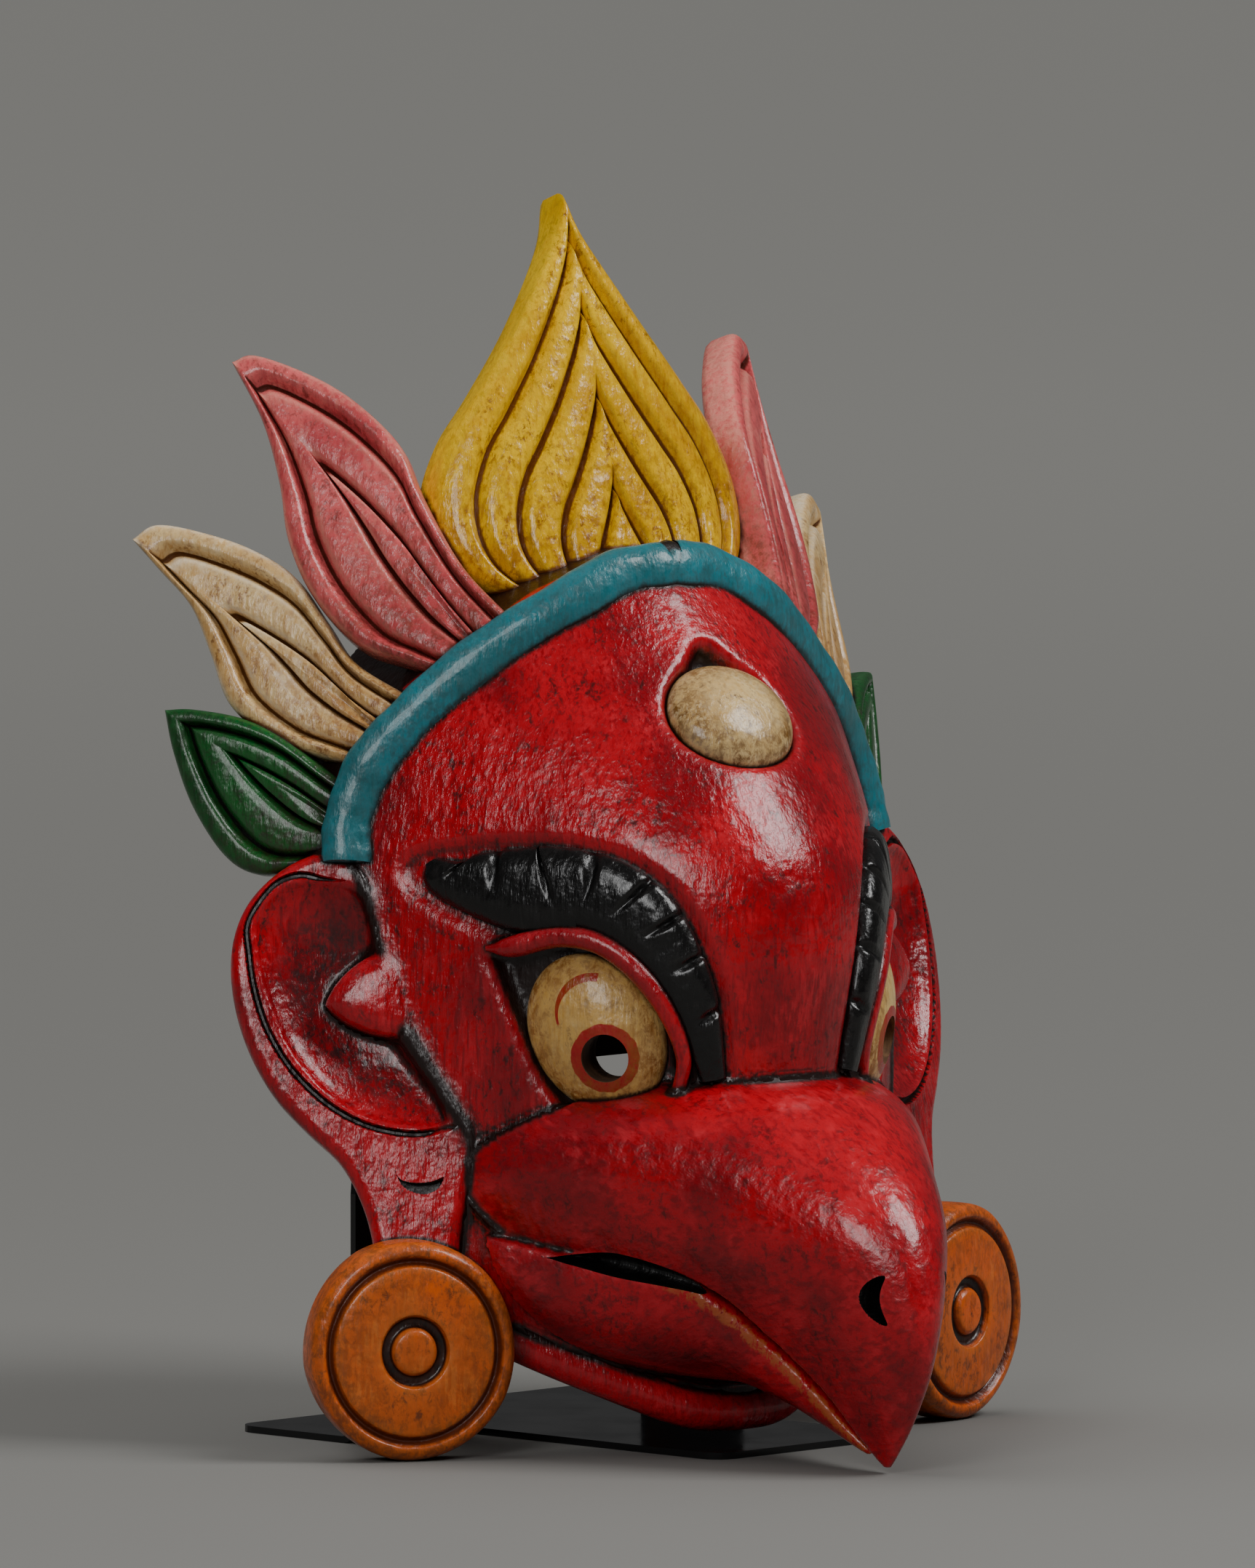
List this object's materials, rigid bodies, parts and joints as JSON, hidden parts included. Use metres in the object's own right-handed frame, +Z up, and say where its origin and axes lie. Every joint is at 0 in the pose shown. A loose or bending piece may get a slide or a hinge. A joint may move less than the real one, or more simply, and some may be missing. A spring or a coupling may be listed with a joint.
{
  "type": "carved mask",
  "caption": "Painted carved wooden bird mask with a hooked beak, long ears, disc earrings and a flame crown, standing over a bent black steel stand.",
  "frame": {"origin": "on the floor, at the underside of the stand's tongue, in the mask's centre plane", "axes": "+Z up; the face looks along -Y; +X is on the right of a viewer who faces the mask"},
  "size_m": [0.2214, 0.2209, 0.3203],
  "materials": {
    "painted_wood": "worn gloss lacquer, mostly red, with blue, yellow, pink, cream, green, orange and black parts",
    "black_steel": "gloss black"
  },
  "bodies": {
    "root": {"mask": "painted_wood", "stand": "black_steel"}
  },
  "joints": []
}
